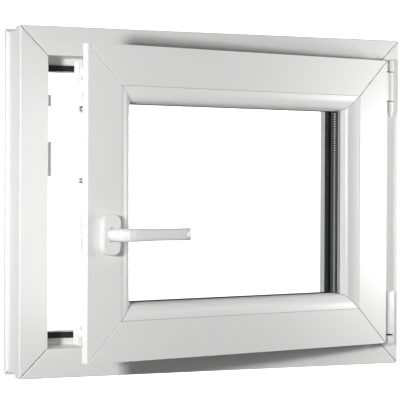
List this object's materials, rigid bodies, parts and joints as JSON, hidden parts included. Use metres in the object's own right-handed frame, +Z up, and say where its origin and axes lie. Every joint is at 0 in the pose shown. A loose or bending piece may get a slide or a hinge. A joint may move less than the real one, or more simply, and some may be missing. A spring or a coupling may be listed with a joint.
{
  "type": "tilt-and-turn window",
  "caption": "White PVC tilt-and-turn window with one double-glazed sash standing open, side hinges, stay arm and lever handle.",
  "frame": {"origin": "middle of the room-side fixing rib on the sill face of the fixed frame", "axes": "+X along the sill towards the hinge side, +Y outdoors through the frame, +Z up"},
  "size_m": [0.7, 0.2943, 0.57],
  "materials": {
    "pvc": "satin white PVC",
    "rubber": "black EPDM rubber",
    "grey_rubber": "grey EPDM rubber",
    "steel": "zinc-plated steel",
    "zinc": "satin zinc die-casting",
    "lacquer": "white lacquer",
    "glass": "clear float glass",
    "spacer": "perforated dark spacer bar",
    "packer": "moulded plastic"
  },
  "bodies": {
    "frame": {"frame_left": "pvc", "frame_right": "pvc", "frame_top": "pvc", "frame_bottom": "pvc", "frame_core_left": "steel", "frame_core_right": "steel", "frame_seal": "rubber", "drain_cap_left": "pvc", "drain_cap_right": "pvc", "striker_lower": "zinc", "striker_upper": "zinc", "top_bearing": "lacquer", "top_hinge_pin": "lacquer", "bottom_bearing": "lacquer"},
    "corner_pivot": {"corner_pin": "steel"},
    "sash": {"sash_left": "pvc", "sash_right": "pvc", "sash_top": "pvc", "sash_bottom": "pvc", "bead_left": "pvc", "bead_right": "pvc", "bead_top": "pvc", "bead_bottom": "pvc", "pane_inner": "glass", "pane_outer": "glass", "glass_spacer": "spacer", "edge_sealant": "rubber", "bead_seal": "grey_rubber", "outer_glass_seal": "rubber", "packer_left": "packer", "packer_right": "packer", "overlap_seal": "rubber", "bottom_hinge_band": "lacquer", "lock_faceplate": "zinc", "gearbox": "zinc", "rosette_base": "zinc", "rosette_cover": "lacquer"},
    "stay_arm": {"stay_sleeve": "lacquer", "stay_arm": "zinc", "stay_guide_pin": "steel"},
    "handle": {"lever": "lacquer", "spindle": "steel"},
    "drive_rail": {"drive_rail": "zinc", "lock_cam_lower": "steel", "lock_cam_upper": "steel"}
  },
  "joints": [
    {"name": "sash_turn", "type": "hinge", "parent": "frame", "child": "corner_pivot", "pos_m": [0.327, -0.022, 0.05], "axis": [0, 0, 1], "range_deg": [-13, 77]},
    {"name": "sash_tilt", "type": "hinge", "parent": "corner_pivot", "child": "sash", "pos_m": [0.00703, -0.08971, 0.038], "axis": [0.9744, 0.225, 0], "range_deg": [0, 10]},
    {"name": "stay_swing", "type": "hinge", "parent": "corner_pivot", "child": "stay_arm", "pos_m": [0.327, -0.022, 0.49], "axis": [0, 0, 1], "range_deg": [0, 18]},
    {"name": "handle_turn", "type": "hinge", "parent": "sash", "child": "handle", "pos_m": [-0.25875, -0.16544, 0.237], "axis": [0.225, -0.9744, 0], "range_deg": [-90, 90]},
    {"name": "drive_slide", "type": "slide", "parent": "sash", "child": "drive_rail", "axis": [0, 0, 1], "range_m": [-0.019, 0.019]}
  ],
  "couplings": [
    {"joint": "stay_swing", "follows": "sash_tilt", "ratio": 1.75},
    {"joint": "drive_slide", "follows": "handle_turn", "m_per_rad": -0.012}
  ]
}
